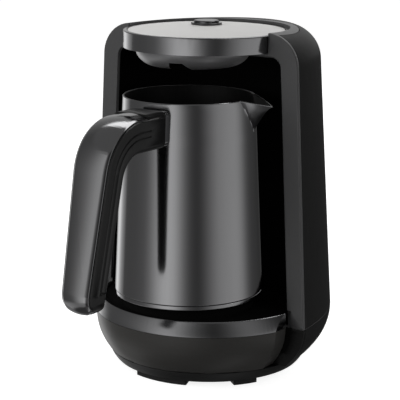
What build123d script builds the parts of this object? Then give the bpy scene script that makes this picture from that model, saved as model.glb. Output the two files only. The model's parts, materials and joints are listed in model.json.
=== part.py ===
from build123d import *

import os
from math import atan, cos, hypot, pi, radians, sin, sqrt, tan

# Electric turkish coffee maker: a hot plate and a sensing head in one arch-shaped
# housing, and a conical pot with a hooked handle that is pulled out to the front.
# Millimetres. The origin is the point of the table under the pot's axis, +Z is up
# and the front of the machine faces -Y.

# ---- clearances and walls -------------------------------------------------------
WALL = 2.4  # moulded housing walls
LINER_WALL = 2.0  # alcove liner and head tray
SEAM = 0.5  # open joint line between two covers
SEAT = 0.1  # between a piece and the piece it drops into
RUNNING = 0.08  # radial play of a guided, moving piece
POT_GAP = 0.3  # between the pot and the hot plate
EDGE = 0.8  # small rounding of visible moulded edges

# ---- housing --------------------------------------------------------------------
TOP_Z = 218.8  # flat top of the housing
SEAM_Z = 36.2  # level where the lower covers meet the upper ones
SEAM_HALF_WIDTH = 79.9  # housing outline at that level, an ellipse
SEAM_HALF_DEPTH = 116.0
TOP_HALF_WIDTH = 71.3  # the same outline at the top
TOP_HALF_DEPTH = 99.5
HOUSING_Y = 3.5  # centre of the ellipses
TOP_CORNER = 20.0  # rounding of the housing's shoulder
BEZEL_Y = 8.3  # plane of the flat front arch
BEZEL_DEPTH = 2.5  # thickness of the arch
STRIP_WIDTH = 11.7  # visible width of the arch's legs
FLANGE_DEPTH = 6.0  # arch flange that reaches into the rear shell
FLANGE_WALL = 1.6

# ---- alcove ---------------------------------------------------------------------
ALCOVE_TOP_Z = 204.0
ALCOVE_DEPTH = 46.0  # from the arch plane to the back of the liner
ALCOVE_CORNER = 7.0

# ---- base -----------------------------------------------------------------------
BASE_Y = 23.5  # centre of the round base
FOOT_HEIGHT = 3.2
COVER_Z = 10.4  # level where the moulded covers meet the bottom cover
COVER_RADIUS = 64.0
GROUND_RADIUS = 59.3  # bottom cover at its foot
COVER_WALL = 2.4
COVER_BULGE = 0.6
BELLY_RADIUS = 73.0  # base at the seam level
RIM_Z = 45.3  # top edge of the glossy band
RIM_RADIUS = 69.5
BAND_BULGE = 0.5  # how far the band bows out past a straight cone
TURN_POWER = 2.3  # how suddenly the lower covers turn in
SIDE_TURN_IN = 12.6  # how far the rear lower cover turns in
GATE_HALF = 67.5  # the bowl and its band end at this half width
GATE_TURN_IN = 9.5
SERVICE_RADIUS = 34.0  # opening in the floor under the works
TRIM_WIDTH = 8.5  # the arch is stepped down to this width beside the bowl
REBATE = 1.2  # depth of that step
REBATE_Z = 47.2  # where the step starts
DECK_DROP = 0.8  # deck surface below the band's rim
DECK_WALL = 2.4
BOSS_RADIUS = 42.6  # raised ring round the hot plate
BOSS_Z = 50.0
SLOT_COUNT = 7  # air slots in the bottom cover
SLOT_PITCH = 8.0
SLOT_LENGTH = 36.0
SLOT_WIDTH = 3.0

# ---- feet and cover screws --------------------------------------------------------
FOOT_IN, FOOT_OUT = 50.0, 58.0  # radii of the arc-shaped pads
FOOT_PADS = ((0, 19), (57, 8), (-57, 8), (130, 11), (-130, 11))  # centre, half angle
SCREW_RING = 55.0
SCREW_ANGLES = (32, -32, 95, -95, 180)
SCREW_RADIUS = 1.5
SCREW_HEAD = 3.0
SCREW_HEAD_HEIGHT = 1.6
SCREW_GRIP = 5.5  # length of thread in its boss
SCREW_BOSS = 4.0

# ---- hot plate --------------------------------------------------------------------
PLATE_TOP_Z = 50.9
PLATE_RADIUS = 38.0
PLATE_THICKNESS = 3.5
PAN_DEPTH = 11.4  # carrier pan under the plate
PAN_WALL = 1.2
PAN_FLANGE = 42.0
ELEMENT_RADIUS = 27.0
ELEMENT_TUBE = 3.2
ELEMENT_GAP = 16.0  # half angle of the opening in the ring
TERMINAL_RADIUS = 1.6
TERMINAL_Z = 30.0
FUSE_RADIUS = 2.0
FUSE_LENGTH = 14.0
FUSE_X = 15.0

# ---- temperature probe --------------------------------------------------------------
PROBE_RADIUS = 4.5
PROBE_CAP = 2.2
PROBE_HOLE = 5.2
PROBE_STEM = 2.0
PROBE_GUIDE = 3.0
PROBE_GUIDE_HEIGHT = 3.4
PROBE_TRAVEL = 1.5
PROBE_CLIP = 3.2
PROBE_CLIP_HEIGHT = 1.0
PROBE_WIRE = 0.35

# ---- head ---------------------------------------------------------------------------
HEAD_Y = 19.5
RING_RADIUS = 52.5
RING_WALL = 2.5
RING_BOTTOM_Z = 206.4
RING_TOP_Z = 217.1
COLLAR_RADIUS = 58.0  # flat collar of the arch round the head
LID_RISE = 3.4  # crown of the lid
LID_WALL = 1.6
LID_DROP = 0.2
LID_GROOVE = 0.35
SHIELD_Y = 4.5
SHIELD_TOP_RADIUS = 36.0
SHIELD_RADIUS = 25.5
SHIELD_HEIGHT = 10.0
SHIELD_WALL = 1.8
SHIELD_SHAPE = ((0.0, 1.0), (0.07, 0.7), (0.3, 0.36), (0.67, 0.1), (1.0, 0.0))  # share of the spread, height
NOTCH_ANGLE = 18.0  # direction of the sight notch, from the front
NOTCH_WIDTH = 15.0
NOTCH_HEIGHT = 4.6
WINDOW_RADIUS = 8.0
WINDOW_THICKNESS = 1.4
SENSOR_WIDTH, SENSOR_DEPTH = 14.0, 10.0

# ---- button -----------------------------------------------------------------------------
BUTTON_RADIUS = 7.9
BUTTON_PROUD = 2.6
BUTTON_TRAVEL = 1.0
BUTTON_WALL = 1.4
BUTTON_LIP = 0.8
BUTTON_LIP_HEIGHT = 1.3
BUTTON_STEM = 1.5
BEZEL_RING_RADIUS = 9.8
BEZEL_RING_PROUD = 1.1
BEZEL_NECK = 0.95  # wall of the ring's neck
SWITCH_SIZE = 8.0
SWITCH_HEIGHT = 2.8
SPRING_WIRE = 0.25
SPRING_COILS = 4

# ---- electronics -------------------------------------------------------------------------
BOARD_STANDOFF = 3.6
BOARD_THICKNESS = 1.6
BOARD_HALF_X, BOARD_HALF_Y = 22.0, 18.0
POST_RADIUS = 2.6
BOARD_SCREW = 1.0
BUZZER_RADIUS, BUZZER_HEIGHT = 6.0, 3.5
BUZZER_X = 15.2
LED_SIZE, LED_HEIGHT = 3.0, 1.0
LED_X = 11.0
POWER_Z = 19.5
POWER_Y = 72.0
POWER_HALF_X, POWER_HALF_Y = 30.0, 14.0
RELAY = (16.0, 13.0, 15.0)
TRANSFORMER = (15.0, 14.0, 13.0)
SIDE_PARTS_X = 18.5  # relay and transformer, each side of the board's middle
CAPACITOR_RADIUS, CAPACITOR_HEIGHT = 4.5, 14.0
TERMINAL_BLOCK = (18.0, 7.0, 10.0)
LOOM_RADIUS = 1.6
LOOM_Y = 62.5
LOOM_HOLE = 3.9
LEAD_RADIUS = 1.4
LEAD_Z = 25.6
GLAND_Z = 24.0
GLAND_RADIUS = 7.0
GLAND_FLANGE = 9.5
GLAND_BORE = 3.6
GLAND_DEPTH = 9.0

# ---- pot -----------------------------------------------------------------------------------
POT_WALL = 1.0
POT_RIM_Z = 178.1
POT_RIM_RADIUS = 41.4
POT_FOOT_RADIUS = 47.0
POT_BASE_RADIUS = 46.7
POT_BASE_THICKNESS = 3.0
POT_HEEL = 0.6  # rounding where the wall meets the base
SPOUT_ANGLE = 15.0  # direction of the spout, from +X towards +Y
SPOUT_REACH = 57.0  # length of the spout's nose line at rim level
SPOUT_HALF = 17.0  # half width where it leaves the wall at the rim
SPOUT_NOSE = 5.0
SPOUT_APEX_Z = 154.0
SPOUT_DIP = 22.0  # slope of the spout's lip, degrees

# ---- handle, as distances R in front of the pot's axis --------------------------------------
HANDLE_WIDTH = 27.0
HANDLE_TIP_WIDTH = 20.0
HANDLE_TOP_Z = 174.5
HANDLE_UNDER_Z = 152.0
HANDLE_TIP_Z = 62.4
HANDLE_ROOT_R = 45.5
HANDLE_SHOULDER_R = 98.8  # where the top line meets the grip's outer line
HANDLE_REACH_R = 123.6
GRIP_THICKNESS = 20.6
SHOULDER_RADIUS = 36.5
TIP_OUTER_RADIUS = 12.0
TIP_INNER_RADIUS = 6.5
FINGER_RADIUS = 16.0
TIP_SIDE_RADIUS = 9.2
COVER_DEPTH = 2.8
COVER_START_R = 62.0
COVER_TIP_FLAT = 0.4  # how far the cover goes on under the tip, past its rounding
COVER_INSET = 1.0  # shoulder of the core left showing beside the cover
COVER_GAP = 0.15
HANDLE_EDGE = 4.0  # rounding of the finger side
COVER_EDGE = 2.2
GROOVE_DEPTH = 0.8
GROOVE_WIDTH = 1.1
GROOVE_BACKS = (9.4, 13.0)  # grooves along the sides, behind the outer line
TONGUE_LENGTH = 14.0
TONGUE_HEIGHT = 6.0
TONGUE_WIDTH = 12.0
TONGUE_Z = 160.0
BRACKET_MARGIN = 0.8  # bracket frame stands this far inside the core's section
BRACKET_CORNER = 3.0
HANDLE_SCREW_R = 53.0
HANDLE_SCREW_RADIUS = 2.0
HANDLE_SCREW_HEAD = 3.6
HANDLE_SCREW_HEAD_HEIGHT = 2.4

# ---- derived levels ----------------------------------------------------------------------------
BIG = 600.0
ARCH_BACK = BEZEL_Y + BEZEL_DEPTH
DECK_Z = RIM_Z - DECK_DROP
PLATE_Z = PLATE_TOP_Z - PLATE_THICKNESS
PAN_Z = PLATE_Z - PAN_DEPTH
TRAY_TOP_Z = RING_BOTTOM_Z + LINER_WALL
BOARD_Z = TRAY_TOP_Z + BOARD_STANDOFF
BOARD_TOP_Z = BOARD_Z + BOARD_THICKNESS
SWITCH_TOP_Z = BOARD_TOP_Z + SWITCH_HEIGHT
LID_RADIUS = RING_RADIUS - RING_WALL - LID_GROOVE
LID_TOP_Z = RING_TOP_Z - LID_DROP + LID_RISE
CAP_TOP_Z = LID_TOP_Z + BUTTON_PROUD
NECK_Z = LID_TOP_Z - LID_WALL - 1.9
CAP_ROOF_Z = CAP_TOP_Z - BUTTON_WALL
POT_BASE_Z = PLATE_TOP_Z + POT_GAP
POT_Z = POT_BASE_Z + POT_BASE_THICKNESS
POWER_TOP_Z = POWER_Z + BOARD_THICKNESS
TONGUE_TOP_Z = TONGUE_Z + TONGUE_HEIGHT
TONGUE_END_R = HANDLE_ROOT_R + TONGUE_LENGTH
HANDLE_SIDES = [(HANDLE_TIP_WIDTH / 2, HANDLE_TIP_Z), (HANDLE_WIDTH / 2, HANDLE_TOP_Z)]


# ---- shared shapes ---------------------------------------------------------------------------------
def disc(radius, z0, z1, x=0.0, y=0.0):
    """An upright cylinder between two levels."""
    return Pos(x, y, (z0 + z1) / 2) * Cylinder(radius, z1 - z0)


def block(width, depth, z0, z1, x=0.0, y=0.0):
    """An upright box between two levels."""
    return Pos(x, y, (z0 + z1) / 2) * Box(width, depth, z1 - z0)


def between_y(y0, y1):
    """All space between two planes across the depth."""
    return Pos(0, (y0 + y1) / 2, 0) * Box(BIG, y1 - y0, BIG)


def polar(radius, degrees_from_front, y=0.0):
    """A point round an axis, counted from the front towards +X."""
    angle = radians(degrees_from_front)
    return radius * sin(angle), y - radius * cos(angle)


def lathe(points, y=0.0):
    """A turned piece: a closed outline of (radius, height) points."""
    outline = make_face(Polyline([(r, 0, z) for r, z in points], close=True))
    return Pos(0, y, 0) * revolve(outline, Axis.Z)


def coil_spring(radius, wire, z0, z1, coils, y=0.0):
    """A helical spring of round wire between two levels."""
    height = z1 - z0 - 2 * wire
    path = Helix(pitch=height / coils, height=height, radius=radius)
    start = Plane(origin=path @ 0, z_dir=path % 0)
    return Pos(0, y, z0 + wire) * sweep(start * Circle(wire), path)


# ---- housing forms ------------------------------------------------------------------------------------
def half_width(z):
    """Half width of the upper housing at a level, at its widest section."""
    share = (z - SEAM_Z) / (TOP_Z - SEAM_Z)
    return SEAM_HALF_WIDTH + (TOP_HALF_WIDTH - SEAM_HALF_WIDTH) * share


def alcove_half(z):
    """Half width of the alcove's mouth at a level."""
    return half_width(z) - STRIP_WIDTH


def upper_outline(z, inset):
    """Outline of the upper housing's straight part at a level, moved in by inset."""
    share = (z - SEAM_Z) / (TOP_Z - SEAM_Z)
    width = SEAM_HALF_WIDTH + (TOP_HALF_WIDTH - SEAM_HALF_WIDTH) * share
    depth = SEAM_HALF_DEPTH + (TOP_HALF_DEPTH - SEAM_HALF_DEPTH) * share
    return Pos(0, HOUSING_Y, z) * Ellipse(width - inset, depth - inset)


def upper_form(inset):
    """The upper housing as a solid with a round shoulder, each wall moved in by inset."""
    corner, spring = TOP_CORNER - inset, TOP_Z - TOP_CORNER
    steps = 6
    shoulder = []
    for step in range(steps + 1):
        turn = radians(90 * step / steps)
        shoulder.append(upper_outline(spring + corner * sin(turn), inset + corner * (1 - cos(turn))))
    return loft([upper_outline(SEAM_Z, inset), upper_outline(spring, inset)]) + loft(shoulder)


def drawn_in(z, depth):
    """How far a lower cover has turned in at a level under the seam."""
    return depth * ((SEAM_Z - z) / (SEAM_Z - COVER_Z)) ** TURN_POWER


def lower_form(inset, top=SEAM_Z):
    """The rear lower housing as a solid, each wall moved in by inset."""
    steps = 5
    floor = COVER_Z + inset
    sections = []
    for step in range(steps + 1):
        z = top - (top - floor) * step / steps
        draw = drawn_in(z, SIDE_TURN_IN) + inset
        outline = Ellipse(SEAM_HALF_WIDTH - draw, SEAM_HALF_DEPTH - draw)
        sections.append(Pos(0, HOUSING_Y, z) * outline)
    return loft(sections)


def bowl_radius(z):
    """Radius of the round front bowl at a level under the seam."""
    return BELLY_RADIUS - drawn_in(z, BELLY_RADIUS - COVER_RADIUS)


def gate(inset, top):
    """Space between the alcove's sides carried down in front of the arch."""
    steps = 6
    levels = [top - (top - COVER_Z) * step / steps for step in range(steps + 1)]
    side = [(GATE_HALF - inset, top + SEAM_Z)]
    side += [(GATE_HALF - inset - drawn_in(min(z, SEAM_Z), GATE_TURN_IN), z) for z in levels]
    side += [(side[-1][0], -1.0)]
    outline = side + [(-x, z) for x, z in reversed(side)]
    face = make_face(Polyline([(x, BEZEL_Y - SEAM, z) for x, z in outline], close=True))
    return extrude(face, amount=BIG / 2, dir=(0, -1, 0))


def bowl_form(inset, top):
    """The round front bowl as a solid up to a level, moved in by inset."""
    steps = 6
    low = COVER_Z
    side = [(bowl_radius(z) - inset, 0, z) for z in [low + (top - low) * i / steps for i in range(steps + 1)]]
    outline = [Spline(side), Line(side[-1], (0, 0, top)), Line((0, 0, top), (0, 0, low)), Line((0, 0, low), side[0])]
    return Pos(0, BASE_Y, 0) * revolve(make_face(Wire(outline)), Axis.Z)


# ---- base ----------------------------------------------------------------------------------------------
def base_band():
    mid_z = (SEAM_Z + RIM_Z) / 2
    mid_r = (BELLY_RADIUS + RIM_RADIUS) / 2 + BAND_BULGE
    outside = ThreePointArc((BELLY_RADIUS, 0, SEAM_Z), (mid_r, 0, mid_z), (RIM_RADIUS, 0, RIM_Z))
    inside = Polyline(
        [(RIM_RADIUS, 0, RIM_Z), (RIM_RADIUS - WALL, 0, RIM_Z), (RIM_RADIUS - WALL, 0, DECK_Z - DECK_WALL)]
        + [(BELLY_RADIUS - WALL, 0, SEAM_Z), (BELLY_RADIUS, 0, SEAM_Z)]
    )
    ring = revolve(make_face(Wire([outside, *inside.edges()])), Axis.Z)
    ring = fillet(ring.edges().group_by(Axis.Z)[-1].sort_by(SortBy.LENGTH)[-1], EDGE)
    return (Pos(0, BASE_Y, 0) * ring) & gate(0, SEAM_Z)


def front_bowl():
    top = SEAM_Z - SEAM / 2
    floor = COVER_Z + WALL
    above_floor = Pos(0, 0, floor + BIG / 2) * Box(BIG, BIG, BIG)
    hollow = bowl_form(WALL, top) & gate(WALL, top) & above_floor
    bowl = (bowl_form(0, top) & gate(0, top)) - hollow - disc(SERVICE_RADIUS, 0, floor + 1, 0, BASE_Y)
    for angle in SCREW_ANGLES:
        x, y = polar(SCREW_RING, angle, BASE_Y)
        if y < BEZEL_Y - SCREW_BOSS:
            bowl += disc(SCREW_BOSS, floor, COVER_Z + SCREW_GRIP + WALL, x, y)
    return bowl - screw_shafts(SEAT / 2)


def screw_shafts(play):
    """Shanks of the cover screws, with room round them."""
    top = COVER_Z + SCREW_GRIP + play
    return [disc(SCREW_RADIUS + play, FOOT_HEIGHT, top, *polar(SCREW_RING, a, BASE_Y)) for a in SCREW_ANGLES]


def lower_rear_shell():
    front = ARCH_BACK + SEAM
    top = SEAM_Z - SEAM / 2
    shell = (lower_form(0, top) - lower_form(WALL)) & between_y(front, BIG)
    shell -= disc(SERVICE_RADIUS, 0, COVER_Z + 2 * WALL, 0, BASE_Y)
    floor = COVER_Z + WALL
    for angle in SCREW_ANGLES:
        x, y = polar(SCREW_RING, angle, BASE_Y)
        if y > front + SCREW_BOSS:
            shell += disc(SCREW_BOSS, floor, COVER_Z + SCREW_GRIP + WALL, x, y)
    for x, y in power_corners():
        shell += disc(POST_RADIUS, floor, POWER_Z, x, y)
    shell -= screw_shafts(SEAT / 2)
    shell -= gland_axis(GLAND_RADIUS + SEAT, GLAND_DEPTH * 3)
    return shell


def lower_trim(side):
    """Strip that carries one leg of the arch down under the housing."""
    top = SEAM_Z - SEAM / 2
    strip = (lower_form(0, top) - lower_form(TRIM_WIDTH, top)) & between_y(BEZEL_Y, ARCH_BACK)
    tab = (lower_form(WALL + SEAT, top) - lower_form(WALL + SEAT + FLANGE_WALL, top)) & between_y(
        ARCH_BACK, ARCH_BACK + FLANGE_DEPTH
    )
    step = lower_form(TRIM_WIDTH, top) - lower_form(STRIP_WIDTH + 3 * SEAM, top)
    step = step & between_y(BEZEL_Y + REBATE, ARCH_BACK)
    inner = GATE_HALF - GATE_TURN_IN - WALL
    half = Pos(side * (BIG / 2 + inner), 0, 0) * Box(BIG, BIG, BIG)
    return (strip + step + tab) & half


def tray_form(inset, low):
    """The bottom cover's solid form above a level, moved in by inset."""
    top = COVER_Z - SEAM / 2
    middle = ((GROUND_RADIUS + COVER_RADIUS) / 2 + COVER_BULGE - inset, 0, (low + top) / 2)
    side = ThreePointArc((GROUND_RADIUS - inset, 0, low), middle, (COVER_RADIUS - inset, 0, top))
    closing = [Line(side @ 1, (0, 0, top)), Line((0, 0, top), (0, 0, low)), Line((0, 0, low), side @ 0)]
    return Pos(0, BASE_Y, 0) * revolve(make_face(Wire([side, *closing])), Axis.Z)


def bottom_cover():
    cover = tray_form(0, FOOT_HEIGHT)
    cover = fillet(cover.edges().group_by(Axis.Z)[0], EDGE)
    cover -= tray_form(COVER_WALL, FOOT_HEIGHT + COVER_WALL)
    for angle in SCREW_ANGLES:
        x, y = polar(SCREW_RING, angle, BASE_Y)
        cover += disc(SCREW_BOSS, FOOT_HEIGHT + EDGE, COVER_Z - SEAM / 2, x, y)
    first = -SLOT_PITCH * (SLOT_COUNT - 1) / 2
    for i in range(SLOT_COUNT):
        cover -= block(SLOT_WIDTH, SLOT_LENGTH, 0, COVER_Z + 1, first + i * SLOT_PITCH, BASE_Y)
    for angle in SCREW_ANGLES:
        x, y = polar(SCREW_RING, angle, BASE_Y)
        cover -= disc(SCREW_HEAD + SEAT, 0, FOOT_HEIGHT + SCREW_HEAD_HEIGHT, x, y)
        cover -= disc(SCREW_RADIUS + SEAT, 0, COVER_Z + 1, x, y)
    return cover


def cover_screws():
    screws = []
    for angle in SCREW_ANGLES:
        x, y = polar(SCREW_RING, angle, BASE_Y)
        head = disc(SCREW_HEAD, FOOT_HEIGHT + SEAT, FOOT_HEIGHT + SCREW_HEAD_HEIGHT, x, y)
        shank = disc(SCREW_RADIUS, FOOT_HEIGHT + SEAT, COVER_Z + SCREW_GRIP, x, y)
        slot = block(SCREW_HEAD * 1.2, SCREW_RADIUS / 3, 0, FOOT_HEIGHT + SCREW_HEAD_HEIGHT / 2, x, y)
        screws.append(head + shank - slot)
    return Compound(children=screws)


def rubber_feet():
    pads = []
    for centre, half in FOOT_PADS:
        ring = disc(FOOT_OUT, 0, FOOT_HEIGHT, 0, BASE_Y) - disc(FOOT_IN, -1, FOOT_HEIGHT + 1, 0, BASE_Y)
        corners = [(0.0, BASE_Y)] + [polar(FOOT_OUT * 1.6, centre + a, BASE_Y) for a in (-half, half)]
        wedge = extrude(make_face(Polyline(corners, close=True)), amount=FOOT_HEIGHT)
        pad = ring & wedge
        pads.append(fillet(pad.edges().filter_by(Axis.Z), EDGE))
    return Compound(children=pads)


def base_deck():
    low = DECK_Z - DECK_WALL
    round_part = disc(RIM_RADIUS - WALL - SEAT, low, DECK_Z, 0, BASE_Y)
    half = alcove_half(DECK_Z) + LINER_WALL
    back = Ellipse(half, ALCOVE_DEPTH + LINER_WALL)
    back_part = extrude(Pos(0, BEZEL_Y, low) * back, amount=DECK_WALL) & between_y(ARCH_BACK + SEAM, BIG)
    deck = round_part + back_part + disc(BOSS_RADIUS, low, BOSS_Z)
    deck -= disc(PLATE_RADIUS + 4 * SEAT, low - 1, BOSS_Z + 1)
    deck -= disc(LOOM_HOLE, low - 1, DECK_Z + 1, 0, LOOM_Y)
    rim = deck.edges().filter_by(GeomType.CIRCLE).group_by(Axis.Z)[-1].sort_by(SortBy.RADIUS)[-1]
    return fillet(rim, EDGE)


# ---- hot plate and probe ---------------------------------------------------------------------------------
def heater_plate():
    plate = disc(PLATE_RADIUS, PLATE_Z, PLATE_TOP_Z)
    plate = fillet(plate.edges().group_by(Axis.Z)[-1], EDGE)
    return plate - disc(PROBE_HOLE, PLATE_Z - 1, PLATE_TOP_Z + 1)


def heater_pan():
    flange_z = DECK_Z - DECK_WALL
    pan = disc(PLATE_RADIUS, PAN_Z, PLATE_Z)
    pan += disc(PAN_FLANGE, flange_z - PAN_WALL, flange_z)
    pan -= disc(PLATE_RADIUS - PAN_WALL, PAN_Z + PAN_WALL, PLATE_Z + 1)
    guide_top = PAN_Z + PAN_WALL + PROBE_GUIDE_HEIGHT
    pan += disc(PROBE_GUIDE, PAN_Z, guide_top)
    pan -= disc(PROBE_STEM + RUNNING, PAN_Z - 1, guide_top + 1)
    for x, y in terminal_points():
        pan -= disc(TERMINAL_RADIUS + 4 * SEAT, PAN_Z - 1, PAN_Z + 2 * PAN_WALL, x, y)
    return pan


def terminal_points():
    """Where the heating element's two ends turn down, behind the probe."""
    return [(s * ELEMENT_RADIUS * sin(radians(ELEMENT_GAP)), ELEMENT_RADIUS * cos(radians(ELEMENT_GAP))) for s in (-1, 1)]


def heating_element():
    z = PLATE_Z - ELEMENT_TUBE - SEAT
    section = Pos(ELEMENT_RADIUS, 0, z) * (Rot(90, 0, 0) * Circle(ELEMENT_TUBE))
    turn = revolve(section, Axis.Z, revolution_arc=360 - 2 * ELEMENT_GAP)
    ring = Rot(0, 0, 90 + ELEMENT_GAP) * turn
    for x, y in terminal_points():
        ring += disc(TERMINAL_RADIUS, TERMINAL_Z, z, x, y)
    return ring


def temperature_probe():
    top = POT_BASE_Z - 2 * SEAT
    guide_bottom = PAN_Z
    cap = disc(PROBE_RADIUS, top - PROBE_CAP, top)
    cap = fillet(cap.edges().group_by(Axis.Z)[-1], EDGE)
    stem = disc(PROBE_STEM, guide_bottom - 2 * PROBE_CLIP_HEIGHT, top - PROBE_CAP)
    clip = disc(PROBE_CLIP, guide_bottom - PROBE_CLIP_HEIGHT - SEAT, guide_bottom - SEAT)
    return cap + stem + clip


def probe_spring():
    low = PAN_Z + PAN_WALL + PROBE_GUIDE_HEIGHT
    high = POT_BASE_Z - 2 * SEAT - PROBE_CAP
    radius = PROBE_STEM + RUNNING + 2 * PROBE_WIRE + SEAT
    return coil_spring(radius, PROBE_WIRE, low + SEAT, high - SEAT, SPRING_COILS)


def thermal_fuse():
    z = PAN_Z - FUSE_RADIUS - SEAT / 2
    return Pos(FUSE_X, 0, z) * (Rot(90, 0, 0) * Cylinder(FUSE_RADIUS, FUSE_LENGTH))


# ---- housing covers ------------------------------------------------------------------------------------------
def alcove_form(grow, low, high):
    """Space of the alcove between two levels, grown sideways and back."""
    sections = [
        Pos(0, BEZEL_Y, z) * Ellipse(alcove_half(z) + grow, ALCOVE_DEPTH + grow) for z in (low, high)
    ]
    return loft(sections)


def head_drum(grow):
    """The space that the head fills, grown by a clearance."""
    return disc(RING_RADIUS + grow, RING_BOTTOM_Z - grow, TOP_Z + 1, 0, HEAD_Y)


def shield_gate():
    """Opening through the housing that the spill shield hangs in."""
    return disc(SHIELD_TOP_RADIUS + SEAM, ALCOVE_TOP_Z - 1, RING_BOTTOM_Z + 1, 0, SHIELD_Y)


def bezel_arch():
    form = upper_form(0)
    plate = form & between_y(BEZEL_Y, ARCH_BACK)
    low = [(alcove_half(SEAM_Z), SEAM_Z - 1), (alcove_half(ALCOVE_TOP_Z), ALCOVE_TOP_Z)]
    outline = low + [(-x, z) for x, z in reversed(low)]
    mouth = make_face(Polyline([(x, ARCH_BACK + 1, z) for x, z in outline], close=True))
    mouth = fillet(mouth.vertices().group_by(Axis.Z)[-1], ALCOVE_CORNER)
    plate -= extrude(mouth, amount=BEZEL_DEPTH + 2, dir=(0, -1, 0))
    plate = fillet(plate.edges().group_by(Axis.Y)[0], EDGE)
    side = [(half_width(z) - TRIM_WIDTH, z) for z in (SEAM_Z - 1, REBATE_Z)]
    outline = side + [(-x, z) for x, z in reversed(side)]
    step = make_face(Polyline([(x, BEZEL_Y + REBATE, z) for x, z in outline], close=True))
    plate -= extrude(step, amount=2 * REBATE, dir=(0, -1, 0))
    behind = between_y(ARCH_BACK, BIG)
    collar = (form - upper_form(WALL)) & disc(COLLAR_RADIUS, ALCOVE_TOP_Z, TOP_Z + 1, 0, HEAD_Y) & behind
    flange_in = WALL + SEAT
    flange = (upper_form(flange_in) - upper_form(flange_in + FLANGE_WALL)) & between_y(
        ARCH_BACK, ARCH_BACK + FLANGE_DEPTH
    )
    arch = plate + collar + (flange - head_drum(WALL))
    return arch - head_drum(SEAT * 3) - shield_gate()


def rear_shell():
    walls = (upper_form(0) - upper_form(WALL)) & between_y(ARCH_BACK + SEAM, BIG)
    return walls - disc(COLLAR_RADIUS + SEAM, ALCOVE_TOP_Z, TOP_Z + 1, 0, HEAD_Y)


def alcove_liner():
    high = ALCOVE_TOP_Z + LINER_WALL
    shell = alcove_form(LINER_WALL, DECK_Z, high) - alcove_form(0, DECK_Z - 1, ALCOVE_TOP_Z)
    return (shell & between_y(ARCH_BACK + SEAT, BIG)) - shield_gate()


# ---- head ------------------------------------------------------------------------------------------------------
def head_ring():
    ring = disc(RING_RADIUS, RING_BOTTOM_Z, RING_TOP_Z, 0, HEAD_Y)
    ring = fillet(ring.edges().group_by(Axis.Z)[-1], EDGE)
    return ring - disc(RING_RADIUS - RING_WALL, RING_BOTTOM_Z - 1, RING_TOP_Z + 1, 0, HEAD_Y)


def head_tray():
    tray = disc(RING_RADIUS - RING_WALL - SEAT, RING_BOTTOM_Z, TRAY_TOP_Z, 0, HEAD_Y)
    for x, y in board_corners():
        tray += disc(POST_RADIUS, TRAY_TOP_Z, BOARD_Z, x, y)
        tray -= disc(BOARD_SCREW + SEAT / 2, RING_BOTTOM_Z + 1, BOARD_Z + 1, x, y)
    tray -= disc(LOOM_HOLE, 0, BIG, 0, LOOM_Y)
    return tray


def lid_height(radius):
    """Level of the lid's crown at a radius: the cap of a large sphere."""
    sphere = (LID_RADIUS**2 + LID_RISE**2) / (2 * LID_RISE)
    return LID_TOP_Z - sphere + sqrt(sphere**2 - radius**2)


def lid():
    hole = BUTTON_RADIUS + RUNNING + BEZEL_NECK + SEAT
    mid = (hole + LID_RADIUS) / 2
    top = ThreePointArc(*[(r, 0, lid_height(r)) for r in (hole, mid, LID_RADIUS)])
    low = ThreePointArc(*[(r, 0, lid_height(r) - LID_WALL) for r in (LID_RADIUS, mid, hole)])
    sides = [Line(top @ 1, low @ 0), Line(low @ 1, top @ 0)]
    crown = revolve(make_face(Wire([top, sides[0], low, sides[1]])), Axis.Z)
    crown = fillet(crown.edges().sort_by(SortBy.LENGTH)[-2:].sort_by(Axis.Z)[-1], EDGE / 2)
    return Pos(0, HEAD_Y, 0) * crown


def button_ring():
    bore = BUTTON_RADIUS + RUNNING
    neck = bore + BEZEL_NECK
    seat_z = lid_height(neck) + SEAT
    ring = disc(neck, NECK_Z, seat_z) + disc(BEZEL_RING_RADIUS, seat_z, LID_TOP_Z + BEZEL_RING_PROUD)
    ring = fillet(ring.edges().group_by(Axis.Z)[-1], EDGE / 2)
    return Pos(0, HEAD_Y, 0) * (ring - disc(bore, NECK_Z - 1, CAP_TOP_Z))


def button_cap():
    lip_top = NECK_Z - SEAT
    lip_low = lip_top - BUTTON_LIP_HEIGHT
    cap = disc(BUTTON_RADIUS, lip_low, CAP_TOP_Z)
    cap = fillet(cap.edges().group_by(Axis.Z)[-1], EDGE)
    cap += disc(BUTTON_RADIUS + BUTTON_LIP, lip_low, lip_top)
    cap -= disc(BUTTON_RADIUS - BUTTON_WALL, lip_low - 1, CAP_ROOF_Z)
    cap += disc(BUTTON_STEM, SWITCH_TOP_Z + BUTTON_TRAVEL + SEAT, CAP_ROOF_Z)
    return Pos(0, HEAD_Y, 0) * cap


def button_spring():
    corner = SWITCH_SIZE / 2 * sqrt(2)
    radius = (corner + BUTTON_RADIUS - BUTTON_WALL) / 2
    return coil_spring(radius, SPRING_WIRE, BOARD_TOP_Z + SEAT, CAP_ROOF_Z - SEAT, SPRING_COILS, HEAD_Y)


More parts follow.
